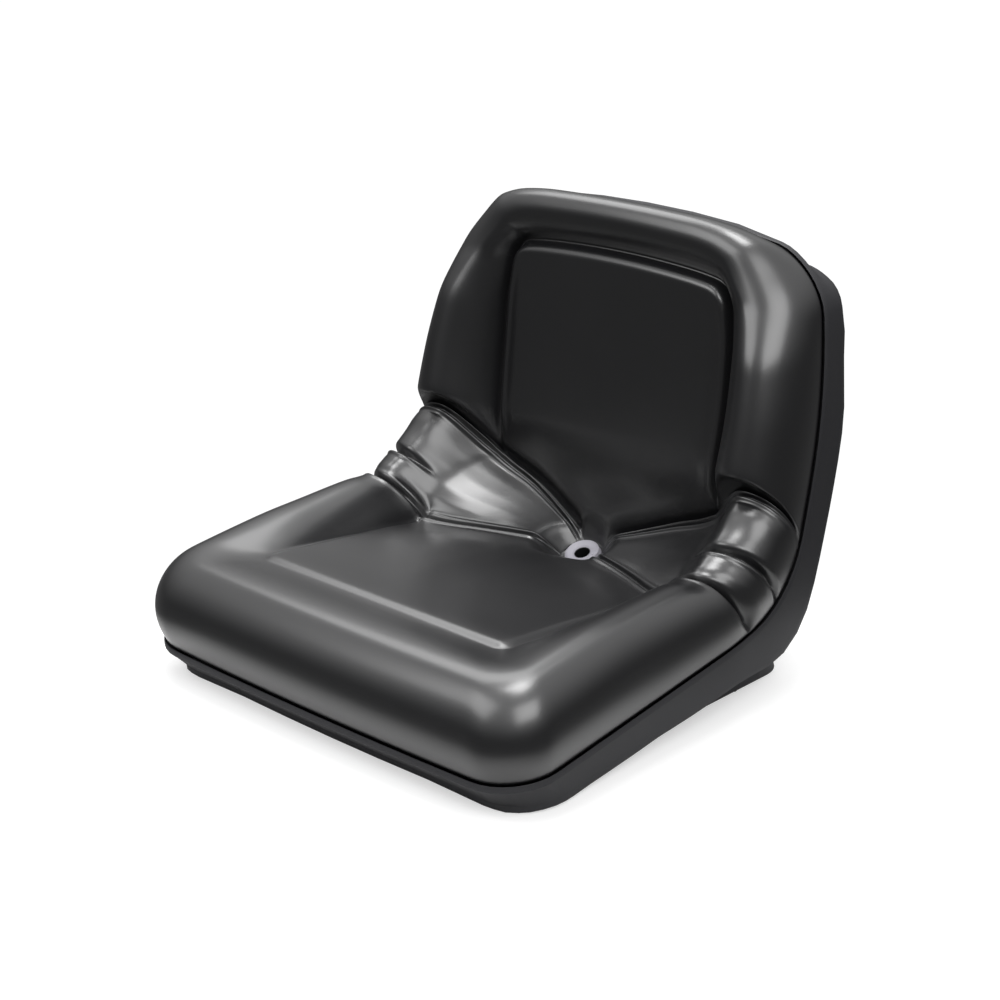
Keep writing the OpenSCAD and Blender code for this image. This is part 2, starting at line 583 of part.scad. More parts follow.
module plinth_webs() {
  for (x = [-bolt_x, 0, bolt_x])
    translate([x - rib_thick / 2, plinth_front + 2, 1])
      cube([rib_thick, plinth_rear - plinth_front - 4, 80]);
  for (y = bolt_y)
    translate([2 - plinth_half, y - rib_thick / 2, 1])
      cube([2 * plinth_half - 4, rib_thick, 80]);
  for (sx = [-1, 1])
    for (y = bolt_y)
      translate([sx * bolt_x, y, 1])
        cylinder(r = boss_r, h = 80, $fn = 48);
  on_drain_axis()
    translate([0, 0, -48])
      cylinder(r = drain_tube_r + 3, h = 40, $fn = 72);
}
module base_shell() {
  color(plastic)
    to_frame()
      difference() {
        union() {
          difference() {
            union() {
              tray_solid();
              plinth_block();
            }
            translate([0, 0, plinth_wall])
              linear_extrude(90)
                rounded_plan(plinth_wall);
          }
          intersection() {
            plinth_webs();
            below_floor(wall);
          }
        }
        for (sx = [-1, 1])
          for (y = bolt_y)
            translate([sx * bolt_x, y, -1])
              cylinder(r = insert_r, h = insert_len + 1, $fn = 48);
        on_drain_axis()
          translate([0, 0, -60])
            cylinder(r = drain_tube_r, h = 50, $fn = 72);
        translate([0, weep_y, -1])
          cylinder(r = weep_r, h = plinth_wall + 2, $fn = 48);
      }
}

// Grommet: flange in the cushion's dimple, tube down through the shell floor
drain_len = 52;
module drain_grommet() {
  color(rubber)
    to_frame() on_drain_axis()
      rotate_extrude($fn = 72)
        polygon([
          [drain_bore_r, -drain_len], [drain_tube_r, -drain_len], [drain_tube_r, -2], [drain_flange_r, -2],
          [drain_flange_r - 1.5, drain_flange_h - 3.5], [drain_flange_r - 3.5, drain_flange_h - 2],
          [drain_bore_r + 2, drain_flange_h - 4], [drain_bore_r, drain_flange_h - 5.5]
        ]);
}

// Four threaded inserts in the bosses under the plinth
module mounting_inserts() {
  color(metal)
    to_frame() for (sx = [-1, 1])
      for (y = bolt_y)
        translate([sx * bolt_x, y, 0])
          difference() {
            cylinder(r = insert_r, h = insert_len, $fn = 48);
            translate([0, 0, -1])
              cylinder(r = thread_r, h = insert_len + 2, $fn = 48);
          }
}

cushion();
base_shell();
drain_grommet();
mounting_inserts();
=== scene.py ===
import bpy
import bmesh
import math
from bisect import bisect_right
from mathutils import Matrix, Vector


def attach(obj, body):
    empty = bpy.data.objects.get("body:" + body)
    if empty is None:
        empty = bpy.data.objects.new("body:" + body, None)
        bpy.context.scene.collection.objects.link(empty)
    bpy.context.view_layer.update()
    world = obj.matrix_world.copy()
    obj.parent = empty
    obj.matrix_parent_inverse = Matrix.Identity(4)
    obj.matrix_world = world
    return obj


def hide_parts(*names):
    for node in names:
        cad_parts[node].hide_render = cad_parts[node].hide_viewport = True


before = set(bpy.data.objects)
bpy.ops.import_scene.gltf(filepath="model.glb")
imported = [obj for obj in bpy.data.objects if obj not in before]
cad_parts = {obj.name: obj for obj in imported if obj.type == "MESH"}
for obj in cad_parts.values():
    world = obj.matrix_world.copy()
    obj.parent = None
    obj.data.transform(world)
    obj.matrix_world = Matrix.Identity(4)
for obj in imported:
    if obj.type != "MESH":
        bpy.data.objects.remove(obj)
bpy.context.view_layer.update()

# Camera: the photograph was taken from the seat's right front, a little above the cushion.
MM = 0.001
VIEW_AZIMUTH, VIEW_PITCH, VIEW_ROLL = 42.2428, 19.7857, 0.6958
CAMERA_AT = Vector((1228.75, -1361.40, 828.85)) * MM


def photo_camera():
    turn, tilt, roll = (math.radians(v) for v in (VIEW_AZIMUTH, VIEW_PITCH, VIEW_ROLL))
    back = Vector((math.sin(turn) * math.cos(tilt), -math.cos(turn) * math.cos(tilt), math.sin(tilt)))
    right = Vector((math.cos(turn), math.sin(turn), 0))
    up = back.cross(right)
    right, up = right * math.cos(roll) + up * math.sin(roll), up * math.cos(roll) - right * math.sin(roll)
    data = bpy.data.cameras.new("photo_camera")
    data.sensor_width = 36
    data.lens = 73.44
    camera = bpy.data.objects.new("photo_camera", data)
    camera.matrix_world = Matrix((
        (right.x, up.x, back.x, CAMERA_AT.x),
        (right.y, up.y, back.y, CAMERA_AT.y),
        (right.z, up.z, back.z, CAMERA_AT.z),
        (0, 0, 0, 1),
    ))
    bpy.context.scene.collection.objects.link(camera)
    bpy.context.scene.camera = camera


photo_camera()
bpy.context.scene.view_settings.view_transform = "Standard"


# Driving sizes of the seat in millimetres, the same as the part's, and the places of its pressed lines.
RIM_WIDTH = 484
SEAT_RUN = 328
SEAT_PITCH = 7.8
RIM_HEIGHT = 36
BEND_RADIUS = 97
BACK_ANGLE = 74
BACK_RUN = 267
BACK_CURVE = 1150
TOP_CURVE = 200
FRONT_CORNER = 50
TOP_CORNER = 52
FRONT_BOW = 5
TOP_BOW = 11
TOP_TAPER = 28
SEAT_GROOVE, BELLOWS_FOLD, BACK_GROOVE = 309, 355, 427
SEAT_PANEL_HALF, BACK_PANEL_HALF = 159, 144
FRONT_BAND, TOP_BAND = 84, 42
SEAT_PANEL_STEP, BACK_PANEL_STEP = 3.2, 9
DRAIN_PLACE = 366
HEEL_OPENING = 5
PATTERN_CENTRE = 250

HALF = RIM_WIDTH / 2
BEND_ARC = BEND_RADIUS * math.radians(BACK_ANGLE - SEAT_PITCH)
BACK_START = SEAT_RUN + BEND_ARC
CURVE_ARC = BACK_RUN * 0.845
TOP = BACK_START + BACK_RUN
UPPER_ANGLE = BACK_ANGLE + math.degrees(CURVE_ARC / BACK_CURVE)


def clamp(value, low=0.0, high=1.0):
    return max(low, min(high, value))


def ease(t):
    t = clamp(t)
    return t * t * (3 - 2 * t)


class Curve:
    """Smooth line through (place, value) knots that never overshoots them."""

    def __init__(self, *knots):
        self.at = [k[0] for k in knots]
        self.value = [k[1] for k in knots]
        run = [b - a for a, b in zip(self.at, self.at[1:])]
        rise = [(b - a) / r for a, b, r in zip(self.value, self.value[1:], run)]
        self.slope = [rise[0]]
        for i in range(1, len(run)):
            d0, d1, h0, h1 = rise[i - 1], rise[i], run[i - 1], run[i]
            self.slope.append((h0 + h1) * d0 * d1 / (h0 * d1 + h1 * d0) if d0 * d1 > 0 else 0.0)
        self.slope.append(rise[-1])

    def __call__(self, place):
        place = clamp(place, self.at[0], self.at[-1])
        i = min(bisect_right(self.at, place) - 1, len(self.at) - 2)
        h = self.at[i + 1] - self.at[i]
        u = (place - self.at[i]) / h
        v = 1 - u
        return (self.value[i] * (1 + 2 * u) * v * v + self.slope[i] * h * u * v * v
                + self.value[i + 1] * u * u * (3 - 2 * u) - self.slope[i + 1] * h * u * u * v)


def rim(s):
    """Side profile of the parting line between cushion and shell, s mm along it."""
    pitch = math.radians(SEAT_PITCH)
    bend = pitch + clamp(s - SEAT_RUN, 0, BEND_ARC) / BEND_RADIUS
    back = math.radians(BACK_ANGLE) + clamp(s - BACK_START, 0, CURVE_ARC) / BACK_CURVE
    top = math.radians(UPPER_ANGLE) + max(s - BACK_START - CURVE_ARC, 0) / TOP_CURVE
    y = min(s, SEAT_RUN) * math.cos(pitch)
    z = RIM_HEIGHT + min(s, SEAT_RUN) * math.sin(pitch)
    for radius, start, end in ((BEND_RADIUS, pitch, bend), (BACK_CURVE, math.radians(BACK_ANGLE), back),
                               (TOP_CURVE, math.radians(UPPER_ANGLE), top)):
        y += radius * (math.sin(end) - math.sin(start))
        z += radius * (math.cos(start) - math.cos(end))
    return y, z


LEAN = Curve((0, 4), (60, SEAT_PITCH), (150, 9), (230, 13), (309, 21), (371, 28), (427, 31), (438, 37), (452, 49),
             (467, 60), (493, 74.5), (548, 80), (TOP - 70, 82), (TOP, 73))
RIM_HALF = Curve((0, HALF), (290, HALF - 1), (345, HALF - 5), (438, HALF - 9), (520, HALF - 12),
                 (610, HALF - 19), (660, HALF - 23), (TOP, HALF - TOP_TAPER))
PANEL_HALF = Curve((80, SEAT_PANEL_HALF), (309, SEAT_PANEL_HALF), (365, SEAT_PANEL_HALF - 3), (415, BACK_PANEL_HALF + 3),
                   (440, BACK_PANEL_HALF - 2), (547, BACK_PANEL_HALF + 2), (600, BACK_PANEL_HALF + 2),
                   (TOP - 60, BACK_PANEL_HALF - 2), (TOP, BACK_PANEL_HALF - 3))
CROWN = Curve((0, 76), (60, 79), (140, 78), (206, 74), (270, 70), (292, 67), (309, 66), (330, 72), (345, 77),
              (375, 81), (398, 81), (412, 78), (421, 74), (429, 71), (434, 72), (441, 76), (456, 79), (500, 80), (550, 79), (600, 76),
              (640, 65), (660, 58), (TOP, 51))
SWELL = Curve((0, 0.13), (80, 0.12), (200, 0.075), (300, 0.08), (330, 0.13), (358, 0.15), (415, 0.14), (446, 0.1), (480, 0.07),
              (TOP - TOP_CORNER, 0.075), (TOP - 8, 0.2), (TOP, 0.2))
BOX = Curve((0, 0.9), (300, 0.9), (335, 0.78), (410, 0.78), (440, 0.9), (TOP, 0.9))
CREASE = Curve((60, 71), (90, 69), (138, 59), (188, 48), (245, 35), (302, 23), (312, 23), (335, 38), (355, 44),
               (371, 43), (395, 34), (427, 15), (440, 14), (480, 20), (547, 25), (600, 30), (663, 36),
               (TOP, 38))
MIDDLE = Curve((60, 73), (90, 69), (150, 55), (250, 31), (290, 16), (SEAT_GROOVE, 14), (340, 11), (366, 6.5),
               (400, 0), (BACK_GROOVE, -4), (440, -3), (455, 3), (480, 13), (510, 20), (547, 26), (600, 31), (663, 37), (TOP, 38))
DISH = Curve((60, 2), (230, 1.7), (SEAT_GROOVE, 2.8), (366, 2.5), (395, 3), (BACK_GROOVE, 4.5), (440, 4), (500, 2.4),
             (547, 2), (TOP, 2))
SEAT_PATH = Curve((0, 50), (0.15, 48), (0.25, 42), (0.44, 34), (0.62, 24), (0.75, 14.5), (0.9, 5), (1, 1.5))
BACK_PATH = Curve((0, -47), (0.12, -44), (0.28, -34), (0.49, -20), (0.69, -9), (0.9, -3), (1, 0))

# The pressed lines slant on the bolsters: how far each row lies from its own place at the rim and on the crest.
RIM_SLIDE = Curve((0, 0), (220, 0), (SEAT_GROOVE, 18), (BELLOWS_FOLD, 22), (BACK_GROOVE, 1), (470, 0), (TOP, 0))
CREST_SLIDE = Curve((0, 0), (220, 0), (SEAT_GROOVE, -5), (BELLOWS_FOLD, -3), (BACK_GROOVE, -5), (480, 0), (TOP, 0))
CREST_SHARE = 0.42
GUSSET_TURN = 3
PANEL_VALLEY = Curve((FRONT_BAND, 0.3), (130, 0.8), (240, 2.2), (SEAT_GROOVE, 2.5), (BACK_GROOVE, 2.5), (480, 4.5), (TOP, 5.5))


def shoulder(distance, reach):
    """Rounded fall into a narrow valley: 1 in the valley, 0 where the roll is full again."""
    t = 1 - clamp(abs(distance) / reach)
    return 1 - math.sqrt(1 - t * t)


def bump(distance, width):
    return math.exp(-(distance / width) ** 2)


def trough(distance, flat):
    """A valley with a steep lower wall, a flat bottom and a round upper wall: 1 at the bottom."""
    return ease(1 + distance / 3.5) if distance < 0 else shoulder(max(distance - flat, 0), 9)


def valleys(row, bolster=1.0, flat=HEEL_OPENING):
    """Depth of the valleys that part the bolster into pad end, thin roll, boxed roll and back."""
    pad, fold, heel = row - SEAT_GROOVE, row - BELLOWS_FOLD, row - BACK_GROOVE - 7
    slot = 15 * shoulder(fold, 11 if fold < 0 else 8) - 2.2 * bump(fold + 7, 2.4) + bump(fold + 12, 1.8)
    return (13 * bolster ** 0.4 * shoulder(pad, 12 if pad < 0 else 20) + slot * ease((bolster - 0.2) / 0.22)
            + (13 + 5 * bolster ** 0.4) * trough(heel, flat))


def pressed(row):
    """The narrow grooves with their beads that run across bolsters and panels."""
    seat, back = row - SEAT_GROOVE, row - BACK_GROOVE
    return (5.5 * bump(seat, 2.5) - 3 * bump(seat + 6, 3) - 2 * bump(seat - 6.5, 3.4)
            + 3.6 * bump(back, 1.7) - 3 * bump(back + 5, 3) - 2.8 * bump(back - 4.3, 2.2))


def row_shift(row, x):
    """How far a row lies from its own place inside the crease, to carry the grooves along their crossing paths."""
    t = min(abs(x) / PANEL_HALF(row), 1)
    to_seat, to_back = SEAT_PATH(t), BACK_PATH(t)
    if row < SEAT_GROOVE:
        return to_seat * ease((row - 110) / (SEAT_GROOVE - 110))
    if row < BACK_GROOVE:
        return to_seat + (to_back - to_seat) * (row - SEAT_GROOVE) / (BACK_GROOVE - SEAT_GROOVE)
    return to_back * (1 - ease((row - BACK_GROOVE) / 150))


def lifted(s, x, height):
    """Point on the cushion: s along the rim, x across, height above the rim."""
    y, z = rim(s)
    lean = math.radians(LEAN(s))
    return Vector((x, y - math.sin(lean) * height - PATTERN_CENTRE, z + math.cos(lean) * height)) * MM


# Stretches of the cushion's rows, as (where one ends, rows in it), close together at the pressed lines.
STRETCHES = ((287, 17), (331, 20), (344, 4), (376, 15), (410, 8), (448, 28), (None, 22))
TURNS = 6
ROWS = sum(count for _, count in STRETCHES) + 2 * TURNS
COLUMNS = 52


def closer(v, share):
    """Even steps that shrink to a share of their length where v nears 0."""
    return v - (1 - share) * v * (1 - v) ** 3


def row_place(i, low, high):
    start = low
    for end, count in STRETCHES:
        stop = end or high
        if i <= count:
            break
        i -= count
        start = stop
    v = i / count
    if start == low:
        v = 1 - closer(1 - v, 0.2)
    elif end is None:
        v = closer(v, 0.26)
    return start + (stop - start) * v


def outline(i, j, half, start, end, corner, top_corner, bow, top_bow):
    """Grid border point (i, j) on an outline with rounded corners and bowed ends, as (s, x)."""
    side = j in (0, COLUMNS) and 0 < i < ROWS
    top = i > ROWS / 2
    k = min(i, ROWS - i) if side else min(j, COLUMNS - j)
    sign = -1 if j < COLUMNS / 2 else 1
    r = top_corner if top else corner
    angle = math.radians(45 + (-45 if side else 45) * min(k / TURNS, 1))
    if k <= TURNS:
        x = sign * (half - r + r * math.cos(angle))
        s = end - r + r * math.sin(angle) if top else start + r - r * math.sin(angle)
    elif side:
        x = sign * half
        s = row_place(i - TURNS, start + corner, end - top_corner)
    else:
        x = (half - r) * (2 * (j - TURNS) / (COLUMNS - 2 * TURNS) - 1)
        s = end if top else start
    curve = 1 - (x / half) ** 2
    if top:
        return s + top_bow * curve * ease((s - end + top_corner) / top_corner), x
    return s - bow * curve * ease((start + corner - s) / corner), x


def rim_place(i, j, inset=0):
    """A border point on the rim, as row, place along and place across."""
    row, x = outline(i, j, HALF - inset, inset, TOP - inset, FRONT_CORNER - inset, TOP_CORNER - inset,
                     FRONT_BOW, TOP_BOW)
    s = row + RIM_SLIDE(row)
    sign = 1 if x > 0 else -1
    return row, s, sign * (abs(x) + inset) * RIM_HALF(s) / HALF - sign * inset


def crease_place(i, j):
    row, x = outline(i, j, SEAT_PANEL_HALF, FRONT_BAND, TOP - TOP_BAND, 16, 24, 0, 8)
    return row, x * PANEL_HALF(row) / SEAT_PANEL_HALF


def gusset(row):
    """1 between the two grooves, where the bolsters flow into the gussets without a crease."""
    return ease((row - SEAT_GROOVE - 3) / 18) * (1 - ease((row - BACK_GROOVE - 1) / 9))


def near_corner(i, j):
    """1 at the two top corners, fading along the outline."""
    if i < ROWS / 2:
        return 0.0
    return ease(1 - (ROWS - i if i < ROWS else min(j, COLUMNS - j)) / (TURNS * 1.75))


def bolster_point(i, j, t):
    """Outer half of the bolster, t from 0 at the rim to 1 at the crest."""
    (row0, s0, x0), (row1, x1) = rim_place(i, j), crease_place(i, j)
    corner = near_corner(i, j)
    share = CREST_SHARE + 0.2 * corner
    across, upward = max(math.cos(math.pi / 2 * t), 0), math.sin(math.pi / 2 * t)
    deep = valleys(row0 + (row1 - row0) * share * t, 1, HEEL_OPENING * ease((t - 0.45) / 0.55))
    q = (share * (1 - across ** BOX(row0)) + deep * across * ease(t / 0.16) / math.hypot(row1 - row0, x1 - x0)
         - SWELL(row0) * (1 - corner) * math.sin(math.pi * t ** 0.8) * (1 - t) ** 0.4)
    row, x = row0 + (row1 - row0) * q, x0 + (x1 - x0) * q
    slide = RIM_SLIDE(row0) + (CREST_SLIDE(row) - RIM_SLIDE(row0)) * t
    up = upward ** BOX(row0)
    return lifted(row + slide, x, CROWN(row) * up - deep * upward - pressed(row) * up)


def steepness(row, x):
    """Rise of the gusset in mm for each mm across, where it meets the bolster."""
    inside = gusset_point(row, x * 0.96)
    return (gusset_point(row, x) - inside).dot(up_at(row).normalized()) / MM / abs(x * 0.04)


def fall_point(i, j, t):
    """Inner slope of the bolster, t from 0 at the crest to 1 at the crease of the panel."""
    (row0, s0, x0), (row1, x1) = rim_place(i, j), crease_place(i, j)
    share = CREST_SHARE + 0.2 * near_corner(i, j)
    q = share + (1 - share) * t
    row, x = row0 + (row1 - row0) * q, x0 + (x1 - x0) * q
    flow = gusset(row)
    deep = valleys(row, 1 - t)
    top, low = CROWN(row) - deep, CREASE(row) - PANEL_VALLEY(row) * (1 - flow) - valleys(row, 0)
    steep = low + (top - low) * (1 - t * t) ** 0.85
    u = 1 - t
    rise = steepness(row, x1) * (1 - share) * math.hypot(row1 - row0, x1 - x0) if flow else 0
    smooth = low + (top - low) * u * u * (3 - 2 * u) + rise * u * (1 - u) ** 2
    soft = max(flow, 0.8 * (1 - ease((row1 - FRONT_BAND) / 60)))
    slide = CREST_SLIDE(row) + (row_shift(row, x1) - CREST_SLIDE(row)) * ease(t)
    return lifted(row + slide, x, steep + (smooth - steep) * soft - pressed(row))


def from_edge(across, along, radius):
    """Distance inwards from the edge of a panel with rounded corners."""
    if min(across, along) > radius or max(across, along) > 3 * radius:
        return min(across, along)
    return radius - math.hypot(max(radius - across, 0), max(radius - along, 0))


# Seat of the drain grommet: its axis leans towards the front.
DRAIN_LEAN = math.radians(23)
FLANGE_RADIUS, TUBE_RADIUS = 19, 11
DRAIN_DEPTH, FLANGE_PROUD = 13, 1.6
DRAIN_AT = lifted(DRAIN_PLACE, 0, -DRAIN_DEPTH)
DRAIN_AXIS = Vector((0, -math.sin(DRAIN_LEAN), math.cos(DRAIN_LEAN)))
DRAIN_REAR = Vector((0, math.cos(DRAIN_LEAN), math.sin(DRAIN_LEAN)))


def up_at(s):
    return lifted(s, 0, 1) - lifted(s, 0, 0)


def dished(row, x):
    """The panel's plain surface, low in the middle and rising to the crease."""
    low, high = MIDDLE(row), CREASE(row)
    return lifted(row + row_shift(row, x), x, low + (high - low) * min(abs(x) / PANEL_HALF(row), 1) ** DISH(row))


def gusset_point(row, x):
    """Skin stretched flat between the seat line and the back line, turning up into the bolster's rolls."""
    t = x / PANEL_HALF(row)
    share = (row - SEAT_GROOVE) / (BACK_GROOVE - SEAT_GROOVE)
    flat, end = (dished(SEAT_GROOVE, k * PANEL_HALF(SEAT_GROOVE)).lerp(dished(BACK_GROOVE, k * PANEL_HALF(BACK_GROOVE)), share)
                 for k in (t, math.copysign(1, t)))
    return flat + (dished(row, math.copysign(PANEL_HALF(row), t)) - end) * abs(t) ** GUSSET_TURN


def panel_point(row, x):
    """Recessed seat panel, gussets and raised back panel inside the crease."""
    edge = PANEL_HALF(row)
    t = min(abs(x) / edge, 1)
    near, step = edge - abs(x), 0.0
    if row < SEAT_GROOVE:
        near = from_edge(near, row - FRONT_BAND, 16)
        step = SEAT_PANEL_STEP * ease(near / 12) * ease((SEAT_GROOVE - row) / 30)
    elif row > BACK_GROOVE:
        near = from_edge(near, TOP - TOP_BAND + 8 * (1 - t * t) - row, 24)
        step = BACK_PANEL_STEP * math.sin(math.pi / 2 * clamp(min(near / 12, (row - BACK_GROOVE - 8) / 28)))
    valley = PANEL_VALLEY(row) * (1 - gusset(row)) * bump(near, 4.5)
    valley += 1.8 * bump(edge - abs(x) - 14, 2.8) * ease((row - 448) / 20) * (1 - ease((row - TOP + TOP_BAND + 50) / 40))
    lines = (pressed(row) + valleys(row, 0)) * ease((abs(x) - 12) / 16)
    if SEAT_GROOVE < row < BACK_GROOVE:
        point = gusset_point(row, x)
    else:
        point = dished(row, x)
    point += up_at(row + row_shift(row, x)) * (step - valley - lines)
    out = point - DRAIN_AT
    level = out.dot(DRAIN_AXIS)
    spread = (out - DRAIN_AXIS * level).length / MM
    front = -out.dot(DRAIN_REAR) / MM / max(spread, 1)
    return point - DRAIN_AXIS * (level + FLANGE_PROUD * MM) * (1 - ease((spread - 20) / (23 + 9 * front)))


def sheet_place(i, j):
    """Place (s, x) of an inner grid point, blended from the crease outline."""
    left, right = crease_place(i, 0), crease_place(i, COLUMNS)
    front, top = crease_place(0, j), crease_place(ROWS, j)
    corners = [crease_place(a, b) for a in (0, ROWS) for b in (0, COLUMNS)]
    v = (left[0] - corners[0][0]) / (corners[2][0] - corners[0][0])
    u = (front[1] - corners[0][1]) / (corners[1][1] - corners[0][1])
    return tuple(
        (1 - u) * left[n] + u * right[n] + (1 - v) * front[n] + v * top[n]
        - (1 - u) * ((1 - v) * corners[0][n] + v * corners[2][n])
        - u * ((1 - v) * corners[1][n] + v * corners[3][n])
        for n in (0, 1))


def border():
    return ([(0, j) for j in range(COLUMNS)] + [(i, COLUMNS) for i in range(ROWS)]
            + [(ROWS, j) for j in range(COLUMNS, 0, -1)] + [(i, 0) for i in range(ROWS, 0, -1)])


def tucked(i, j, inset, depth):
    """Point below the rim, where the skin turns under into the shell."""
    _, s, x = rim_place(i, j, inset)
    y, z = rim(s)
    tilt = math.radians(TILT(s))
    return Vector((x, y + math.sin(tilt) * depth - PATTERN_CENTRE, z - math.cos(tilt) * depth)) * MM


TILT = Curve((0, SEAT_PITCH * 0.5), (60, SEAT_PITCH), (SEAT_RUN, SEAT_PITCH + 2),
             (SEAT_RUN + BEND_ARC / 2, (SEAT_PITCH + BACK_ANGLE) / 2), (BACK_START, BACK_ANGLE + 2),
             (BACK_START + 100, UPPER_ANGLE - 4), (TOP, UPPER_ANGLE + 6))


def grid_sheet(bm, place):
    """A grid of the cushion's rows and columns, each corner moved to place(i, j)."""
    made = bmesh.ops.create_grid(bm, x_segments=COLUMNS, y_segments=ROWS, size=1)["verts"]
    index = {}
    for v in made:
        i, j = round((v.co.y + 1) / 2 * ROWS), round((v.co.x + 1) / 2 * COLUMNS)
        index[i, j] = v
    for (i, j), v in index.items():
        v.co = place(i, j)
    return index


def grow_ring(bm, ring, points):
    """Extrudes a closed ring of vertices once, to the given points."""
    edges = []
    for a, b in zip(ring, ring[1:] + ring[:1]):
        edges.append(bm.edges.get((a, b)))
    made = bmesh.ops.extrude_edge_only(bm, edges=edges)["geom"]
    fresh = {e for e in made if isinstance(e, bmesh.types.BMVert)}
    partner = []
    for v in ring:
        partner.append(next(e.other_vert(v) for e in v.link_edges if e.other_vert(v) in fresh))
    for v, p in zip(partner, points):
        v.co = p
    return partner


def round_drain(angle, radius, level=None):
    """Point on a circle round the drain axis, on the cushion's surface or at a level above its seat."""
    x, rear = radius * math.cos(angle), radius * math.sin(angle)
    if level is not None:
        return DRAIN_AT + (Vector((x, 0, 0)) + DRAIN_REAR * rear + DRAIN_AXIS * level) * MM
    low, high = DRAIN_PLACE - 130, DRAIN_PLACE + 110
    for _ in range(26):
        middle = (low + high) / 2
        if (panel_point(middle, x) - DRAIN_AT).dot(DRAIN_REAR) < rear * MM:
            low = middle
        else:
            high = middle
    return panel_point(low, x)


def drain_block():
    """Rows and columns of the sheet that the grommet's seat takes up."""
    rows = [i for i in range(ROWS + 1) if abs(round_row(i)) < 27]
    columns = [j for j in range(COLUMNS + 1) if abs(sheet_place(rows[0], j)[1]) < 27]
    return rows[0], rows[-1], columns[0], columns[-1]


def round_row(i):
    point = panel_point(*sheet_place(i, COLUMNS // 2))
    return (point - DRAIN_AT).dot(DRAIN_REAR) / MM


def open_block(bm, index, block):
    """Takes the faces of a block out of a sheet and returns the ring of vertices round the hole."""
    low, high, left, right = block
    inside = {index[i, j] for i in range(low, high + 1) for j in range(left, right + 1)}
    faces = [f for f in bm.faces if all(v in inside for v in f.verts)]
    keys = ([(low, j) for j in range(left, right)] + [(i, right) for i in range(low, high)]
            + [(high, j) for j in range(right, left, -1)] + [(i, left) for i in range(high, low, -1)])
    bmesh.ops.delete(bm, geom=faces, context="FACES")
    return [index[k] for k in keys]


OVER_RINGS, FALL_RINGS = 14, 12


def cushion_mesh():
    bm = bmesh.new()
    loop = border()
    block = drain_block()
    sheet = grid_sheet(bm, lambda i, j: drawn_in(panel_point(*sheet_place(i, j))))
    ring = [sheet[p] for p in loop]
    hole = open_block(bm, sheet, block)
    angles = [math.atan2((v.co - DRAIN_AT).dot(DRAIN_REAR), v.co.x) for v in hole]
    seat_edge = FLANGE_RADIUS + 0.5
    for radius, level in ((23.5, None), (21, None), (seat_edge + 0.4, None), (seat_edge, -2.0), (seat_edge - 1, -2.4),
                          (TUBE_RADIUS + 0.5, -2.4), (TUBE_RADIUS + 0.5, -10)):
        hole = grow_ring(bm, hole, [round_drain(a, radius, level) for a in angles])
    for k in range(FALL_RINGS - 1, 0, -1):
        ring = grow_ring(bm, ring, [drawn_in(fall_point(i, j, k / FALL_RINGS)) for i, j in loop])
    for k in range(OVER_RINGS, -1, -1):
        t = k / OVER_RINGS
        ring = grow_ring(bm, ring, [drawn_in(bolster_point(i, j, t), RIM_SHARE + (1 - RIM_SHARE) * t) for i, j in loop])
    for inset, depth in ((0.8, 1.2), (2.6, 2.4), (5.2, 5), (6, 10)):
        ring = grow_ring(bm, ring, [drawn_in(tucked(i, j, inset, depth), RIM_SHARE) for i, j in loop])
    floor = grid_sheet(bm, lambda i, j: drawn_in(floor_place(*sheet_place(i, j)), RIM_SHARE))
    floor_hole = open_block(bm, floor, block)
    for upper, lower in ((ring, [floor[p] for p in loop]), (hole, floor_hole)):
        edges = [bm.edges.get((a, b)) for side in (upper, lower) for a, b in zip(side, side[1:] + side[:1])]
        bmesh.ops.bridge_loops(bm, edges=edges)
    bmesh.ops.recalc_face_normals(bm, faces=bm.faces)
    return bm


SHELL_DEPTH = Curve((0, 30.5), (120, 34.5), (240, 42), (SEAT_RUN, 43), (400, 59), (470, 64), (560, 65),
                    (610, 61), (650, 49), (TOP, 16))


def floor_place(s, x):
    """Underside of the foam, inside the shell."""
    y, z = rim(s)
    tilt = math.radians(TILT(s))
    depth = 0.6 * SHELL_DEPTH(s)
    return Vector((x, y + math.sin(tilt) * depth - PATTERN_CENTRE, z - math.cos(tilt) * depth)) * MM


# The photograph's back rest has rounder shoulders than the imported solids, so cushion and shell are
# drawn in together there: the square between these limits goes part of the way to a quarter disc.
SHOULDER_X, SHOULDER_Z = (90, 246), (262, 441)
SHOULDER_ROUND, TOP_DROP = 0.74, 3
RIM_SHARE = 0.55


def drawn_in(point, much=1.0):
    x, y, z = point / MM
    u = clamp((abs(x) - SHOULDER_X[0]) / (SHOULDER_X[1] - SHOULDER_X[0]), 0, 1.1)
    v = clamp((z - SHOULDER_Z[0]) / (SHOULDER_Z[1] - SHOULDER_Z[0]), 0, 1.1)
    across = (SHOULDER_X[1] - SHOULDER_X[0]) * u * (1 - math.sqrt(1 - v * v / 2)) * SHOULDER_ROUND * much
    down = ((SHOULDER_Z[1] - SHOULDER_Z[0]) * v * (1 - math.sqrt(1 - u * u / 2)) * SHOULDER_ROUND
            + TOP_DROP * ease((v - 0.7) / 0.3)) * much
    return Vector((x - math.copysign(across, x), y, z - down)) * MM


def add_object(name, bm, smooth=True):
    for f in bm.faces:
        f.smooth = smooth
    mesh = bpy.data.meshes.new(name)
    bm.to_mesh(mesh)
    bm.free()
    thing = bpy.data.objects.new(name, mesh)
    bpy.context.scene.collection.objects.link(thing)
    return thing


cushion = add_object("moulded_cushion", cushion_mesh())
finer = cushion.modifiers.new("finer", "SUBSURF")
finer.levels = finer.render_levels = 1
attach(cushion, "root")
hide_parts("cushion")


